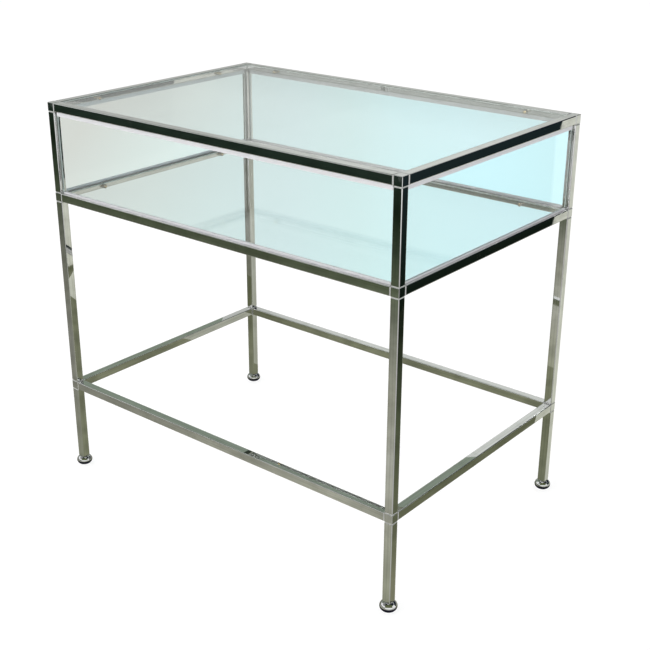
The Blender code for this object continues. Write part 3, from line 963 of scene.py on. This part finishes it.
def graded_card(name, corners, direction, stops, fade=None, mirrored=True, mottle=0.0, power=1.0):
    """A glowing card, a painted reflection if mirrored and a tint seen through glass if not, whose colour
    runs through the stops, each a distance along the direction and a colour.
    A fade, given as direction, start, end and factor, makes it smoothly darker on the way to its end;
    mottle is how far cloudy noise makes it lighter and darker, and power multiplies the whole."""
    card = flat_card(name, corners)
    material, tree, shader = new_finish(name)
    tree.nodes.remove(shader)
    place = add_node(tree, "ShaderNodeTexCoord").outputs["Object"]
    colour = colour_ramp(tree, distance_along(tree, place, direction), stops)
    cloud = noise(tree, place, MOTTLE_SCALE, MOTTLE_DETAIL)
    strength = spread(tree, cloud, 0.3, 0.7, power * (1.0 - mottle), power * (1.0 + mottle))
    if fade:
        way, start, end, factor = fade
        dimmer = spread(tree, distance_along(tree, place, way), start, end, 1.0, factor)
        strength = calculate(tree, "MULTIPLY", strength, dimmer)
    glow = add_node(tree, "ShaderNodeEmission", {"Color": colour, "Strength": strength})
    clear = add_node(tree, "ShaderNodeBsdfTransparent")
    depth = add_node(tree, "ShaderNodeLightPath").outputs["Glossy Depth"]
    shown = calculate(tree, "GREATER_THAN" if mirrored else "LESS_THAN", depth, HALF_A_MIRROR)
    show_mix(tree, shown, clear.outputs["BSDF"], glow.outputs["Emission"])
    card.data.materials.append(material)
    for ray in ("camera", "diffuse", "shadow", "volume_scatter"):
        setattr(card, f"visible_{ray}", False)


def upright(start, end, low, high):
    """Corners of an upright card over a line on the floor."""
    return [(*start, low), (*end, low), (*end, high), (*start, high)]


print("card helpers ready")

# %% [markdown]
# The floor of the room, a painted reflection that only mirrors show, lies in pieces, because it
# changes colour sharply along two lines: one that starts at the near corner and one that starts on
# the right side, behind its middle. Each piece is an outline of a few points on the floor, and runs through
# its colours one way.

# %% Lines on the floor
CARD_HEIGHT = 0.004
FAR = 9.0
HALF_WIDTH = float(cad_box[1][0])
HALF_DEPTH = float(cad_box[1][1])
UNDER_DEPTH = 0.41


def on_floor(*points):
    """Corners on the floor, just above it."""
    return [(x, y, CARD_HEIGHT) for x, y in points]


def heading(degrees):
    """Unit step on the floor at that angle from +X towards +Y."""
    return np.array([math.cos(math.radians(degrees)), math.sin(math.radians(degrees))])


EDGE_START = np.array([HALF_WIDTH, 0.255])
EDGE_HEADING = heading(62.7)
EDGE_LENGTH = 0.5
NEAR_START = np.array([HALF_WIDTH, -HALF_DEPTH])
NEAR_HEADING = heading(51.0)
NEAR_LENGTH = 1.9
RIGHT_NOTCH = [(1.60, 1.24), (1.27, 0.88), (0.75, 0.60), EDGE_START + EDGE_HEADING * EDGE_LENGTH]
near_stop = NEAR_START + NEAR_HEADING * NEAR_LENGTH
near_far = NEAR_START + NEAR_HEADING * FAR
front_left, front_right = (-HALF_WIDTH, -HALF_DEPTH), (HALF_WIDTH, -HALF_DEPTH)
under_left, under_right = (-HALF_WIDTH, UNDER_DEPTH), (HALF_WIDTH, UNDER_DEPTH)
print("near line ends at", np.round(near_stop, 3).tolist())

# %% Floor cards
# Painted reflection: glowing floor cards that only mirrors show, beige near by and darker far off.
front_floor = on_floor((-FAR, -HALF_DEPTH), (-FAR, -FAR), (1.0, -FAR), front_right)
graded_card("front_floor_card", front_floor, (0, -1, 0), [
    (0.34, (0.33, 0.34, 0.25)),
    (0.63, (0.40, 0.40, 0.33)),
    (0.85, (0.46, 0.46, 0.40)),
    (1.10, (0.38, 0.38, 0.31)),
    (1.50, (0.28, 0.29, 0.23)),
    (1.86, (0.150, 0.180, 0.110)),
    (2.10, (0.075, 0.100, 0.060)),
    (2.60, (0.018, 0.032, 0.017)),
    (3.22, (0.036, 0.060, 0.045)),
    (3.36, (0.72, 0.76, 0.72)),
], fade=((-1, 0, 0), -0.20, 1.20, 0.55), mottle=0.12)
left_floor = on_floor((-FAR, -HALF_DEPTH), front_left, under_left, (-FAR, UNDER_DEPTH))
graded_card("left_floor_card", left_floor, (-1, 0, 0), [
    (0.51, (0.24, 0.25, 0.17)),
    (0.95, (0.13, 0.14, 0.08)),
    (2.0, (0.04, 0.05, 0.04)),
], mottle=0.12)
near_floor = on_floor(front_right, (0.62, -3.2), (3.2, -1.0), near_far)
graded_card("near_floor_card", near_floor, (0.77, -0.64, 0), [
    (0.58, (0.30, 0.30, 0.25)),
    (0.66, (0.56, 0.56, 0.54)),
    (1.10, (0.52, 0.51, 0.51)),
    (2.20, (0.66, 0.63, 0.64)),
], mottle=0.1)
right_floor = on_floor(NEAR_START, near_stop, *RIGHT_NOTCH, EDGE_START)
graded_card("right_floor_card", right_floor, (1, 0, 0), [
    (0.52, (0.24, 0.24, 0.16)),
    (0.72, (0.14, 0.15, 0.09)),
    (1.00, (0.080, 0.095, 0.055)),
    (1.35, (0.014, 0.020, 0.011)),
], mottle=0.14)
rear_floor = on_floor(under_right, EDGE_START, *RIGHT_NOTCH[::-1], near_stop, near_far,
                      (-FAR, FAR), (-FAR, UNDER_DEPTH))
graded_card("rear_floor_card", rear_floor, (1, 0, 0), [
    (-1.60, (0.03, 0.04, 0.03)),
    (-0.90, (0.08, 0.09, 0.07)),
    (-0.40, (0.41, 0.42, 0.34)),
    (0.30, (0.49, 0.50, 0.43)),
    (0.65, (0.64, 0.65, 0.55)),
    (1.30, (0.66, 0.67, 0.58)),
    (2.20, (0.74, 0.75, 0.67)),
], mottle=0.06)
# Painted shade: the mirrored floor under the counter is darker, in a card that only mirrors show.
graded_card("under_shade_card", on_floor(front_left, front_right, under_right, under_left),
            (1, 0, 0), [(-0.5, (0.23, 0.24, 0.16)), (0.5, (0.19, 0.20, 0.13))], mottle=0.2)
print("floor cards set")

# %% [markdown]
# Between the two lines stands a dark panel that only mirrors show: a painted reflection that makes the
# right-hand rails black, up to a sharp end. Each foot also mirrors the shade that it stands in, so a dark
# disc of painted shadow lies under it.

# %% Panel and shades
PANEL_START = NEAR_START + NEAR_HEADING * 1.15
PANEL_END = EDGE_START + EDGE_HEADING * 1.6
PANEL_LOW = 0.17
PANEL_HIGH = 0.80
FOOT_SHADE_RADIUS = 0.038
FOOT_SHADE_RISE = 0.0005
FOOT_SHADE_COLOUR = (0.014, 0.014, 0.026)

# Painted reflection: a dark sheet, seen only in mirrors, that the right-hand rails show as black.
graded_card("right_panel_card", upright(PANEL_START, PANEL_END, PANEL_LOW, PANEL_HIGH), (0, 0, 1), [
    (PANEL_LOW, (0.006, 0.011, 0.006)),
    (0.45, (0.010, 0.017, 0.016)),
    (PANEL_HIGH, (0.016, 0.030, 0.036)),
])
# Painted shadow: a dark glowing disc under each foot, seen only in mirrors.
for corner in CORNERS:
    base, height = upright_line(f"foot_{corner}")
    ring = [base[:2] + FOOT_SHADE_RADIUS * heading(turn) for turn in range(0, 360, 15)]
    graded_card(f"foot_shade_{corner}", [(*point, CARD_HEIGHT + FOOT_SHADE_RISE) for point in ring],
                (1, 0, 0), [(-1.0, FOOT_SHADE_COLOUR), (1.0, FOOT_SHADE_COLOUR)])
print("panel and", len(CORNERS), "shades set")

# %% [markdown]
# The walls of the room, painted reflections that only mirrors show: pale behind on the left, dark
# behind on the right and all along the front, so that the rolled edges of the tubes, which look
# everywhere at once, draw dark lines. A small screen on the left, painted the same way, gives the top of
# the left stretcher its grey-green.

# %% Wall cards
WALL_BACK = 3.4
DARK_BACK = 3.45
DARK_RIGHT = 4.4
WALL_END = -0.85
WALL_HEIGHT = 2.45
OVERHEAD = 4.6
SCREEN_LEFT = -1.3
LEFT_DARK = -6.0

# Painted reflections: walls and screens that only mirrors show.
rear_wall = upright((-FAR, WALL_BACK), (WALL_END, WALL_BACK), 0.40, WALL_HEIGHT)
graded_card("rear_wall_card", rear_wall, (0, 0, 1), [
    (0.40, (0.05, 0.06, 0.05)),
    (1.38, (0.08, 0.09, 0.08)),
    (1.50, (0.44, 0.46, 0.43)),
    (1.68, (0.55, 0.57, 0.54)),
    (1.90, (0.72, 0.74, 0.71)),
    (WALL_HEIGHT, (0.70, 0.72, 0.69)),
], fade=((-1, 0, 0), 2.2, 4.3, 0.70))
rear_dark = upright((WALL_END, DARK_BACK), (DARK_RIGHT, DARK_BACK), 0.25, OVERHEAD)
graded_card("rear_dark_card", rear_dark, (0, 0, 1), [
    (0.25, (0.006, 0.008, 0.016)),
    (2.9, (0.012, 0.012, 0.03)),
    (3.2, (0.30, 0.32, 0.31)),
    (OVERHEAD, (0.32, 0.34, 0.33)),
])
graded_card("left_screen_card", upright((SCREEN_LEFT, 0.38), (SCREEN_LEFT, 1.02), 0.62, 0.90), (0, 0, 1),
            [(0.62, (0.24, 0.29, 0.23)), (0.90, (0.26, 0.31, 0.25))])
graded_card("left_dark_card", upright((LEFT_DARK, -2.0), (LEFT_DARK, WALL_BACK), 0.1, 1.6), (0, 0, 1),
            [(0.1, (0.06, 0.065, 0.065)), (1.6, (0.10, 0.11, 0.11))])
graded_card("front_dark_card", upright((0.0, -6.2), (-7.0, -2.0), 0.25, 1.5), (0, 0, 1),
            [(0.25, (0.016, 0.024, 0.018)), (1.5, (0.03, 0.04, 0.035))])
print("wall cards set")

# %% [markdown]
# Above, a grey ceiling slopes up from the pale wall. Dark cards lie higher, and one more slopes
# down again in front; all of them are painted reflections. A small white card below them stands
# for a lamp but lights nothing: rounded metal catches it as a painted highlight.

# %% Overhead cards
CEILING_HEIGHT = 3.2
CEILING_FRONT = -0.5
OVERHEAD_FRONT = -4.8
OVERHEAD_LEFT = -5.5
OVERHEAD_RIGHT = (5.4, 0.6)
OPPOSITE_LOW = 3.1
HIGHLIGHT_CARD_HEIGHT = 4.4


def overhead(height, *points):
    """Corners of a level card at a height."""
    return [(x, y, height) for x, y in points]


wall_end_front = (WALL_END, OVERHEAD_FRONT)
# Painted reflections: ceiling and overhead cards that only mirrors show.
graded_card("ceiling_card",
            overhead(WALL_HEIGHT, (-FAR, WALL_BACK), (WALL_END, WALL_BACK))
            + overhead(CEILING_HEIGHT, (WALL_END, CEILING_FRONT), (-FAR, CEILING_FRONT)),
            (0, 0, 1), [(WALL_HEIGHT, (0.26, 0.31, 0.25)), (CEILING_HEIGHT, (0.20, 0.24, 0.20))])
overhead_right = [(WALL_END, DARK_BACK), (DARK_RIGHT, DARK_BACK), OVERHEAD_RIGHT, wall_end_front]
graded_card("overhead_card", overhead(OVERHEAD, *overhead_right), (0.636, -0.772, 0), [
    (-2.6, (0.30, 0.32, 0.31)),
    (-1.6, (0.10, 0.105, 0.11)),
    (-0.8, (0.012, 0.012, 0.030)),
    (1.2, (0.030, 0.034, 0.030)),
    (2.4, (0.13, 0.15, 0.07)),
])
graded_card("overhead_left_card",
            overhead(OVERHEAD, (OVERHEAD_LEFT, CEILING_FRONT), (WALL_END, CEILING_FRONT), wall_end_front,
                     (OVERHEAD_LEFT, OVERHEAD_FRONT)),
            (1, 0, 0), [(-3.0, (0.34, 0.35, 0.34)), (WALL_END, (0.04, 0.045, 0.05))])
graded_card("opposite_card",
            overhead(OVERHEAD, OVERHEAD_RIGHT, wall_end_front)
            + overhead(OPPOSITE_LOW, (-1.5, -8.5), (8.5, -0.5)),
            (0, 0, 1), [(OPPOSITE_LOW, (0.16, 0.18, 0.09)), (OVERHEAD, (0.12, 0.14, 0.07))])
# Painted highlight: a white glowing card, no lamp, that only mirrors show.
graded_card("lamp_highlight_card", overhead(HIGHLIGHT_CARD_HEIGHT, (-0.2, -0.8), (1.2, -0.8), (1.2, 0.6), (-0.2, 0.6)),
            (1, 0, 0), [(-0.2, WHITE[:3]), (1.2, WHITE[:3])])
print("overhead cards set")

# %% [markdown]
# The glass in the photograph is mint on the left and pale cyan on the right, though the floor
# behind it is white. A tinted floor that only the glass shows gives that colour, and tinted walls
# far off take over where a low view looks past the floor. The colours run across the photograph.

# %% Tint cards
TINT_HEADING = (math.cos(CAMERA_AZIMUTH), math.sin(CAMERA_AZIMUTH), 0.0)
TINT_HEIGHT = 0.006
TINT_POWER = 1.15
TINT_WALL_HEIGHT = 25.0
TINT_STOPS = [
    (-1.30, (0.64, 0.66, 0.62)),
    (-0.75, (0.69, 0.79, 0.76)),
    (-0.45, (0.67, 0.82, 0.81)),
    (-0.10, (0.64, 0.82, 0.83)),
    (0.20, (0.61, 0.84, 0.84)),
    (0.50, (0.62, 0.91, 0.94)),
    (0.85, (0.63, 0.93, 0.98)),
    (1.20, (0.63, 0.91, 0.95)),
]
tint_corners = [(x * FLOOR_HALF, y * FLOOR_HALF) for x, y in CORNERS.values()]
tint_cards = {"tint_card": [(*corner, TINT_HEIGHT) for corner in tint_corners]}
for number, corner in enumerate(tint_corners):
    wall = upright(tint_corners[number - 1], corner, TINT_HEIGHT, TINT_WALL_HEIGHT)
    tint_cards[f"tint_wall_{number}"] = wall
for name, corners in tint_cards.items():
    graded_card(name, corners, TINT_HEADING, TINT_STOPS, mirrored=False, power=TINT_POWER)
print("tint cards set:", len(tint_cards))

# %% [markdown]
# Colours are shown as they are written, with no film look.

# %% Finish
bpy.context.scene.view_settings.view_transform = "Standard"
bpy.context.view_layer.update()
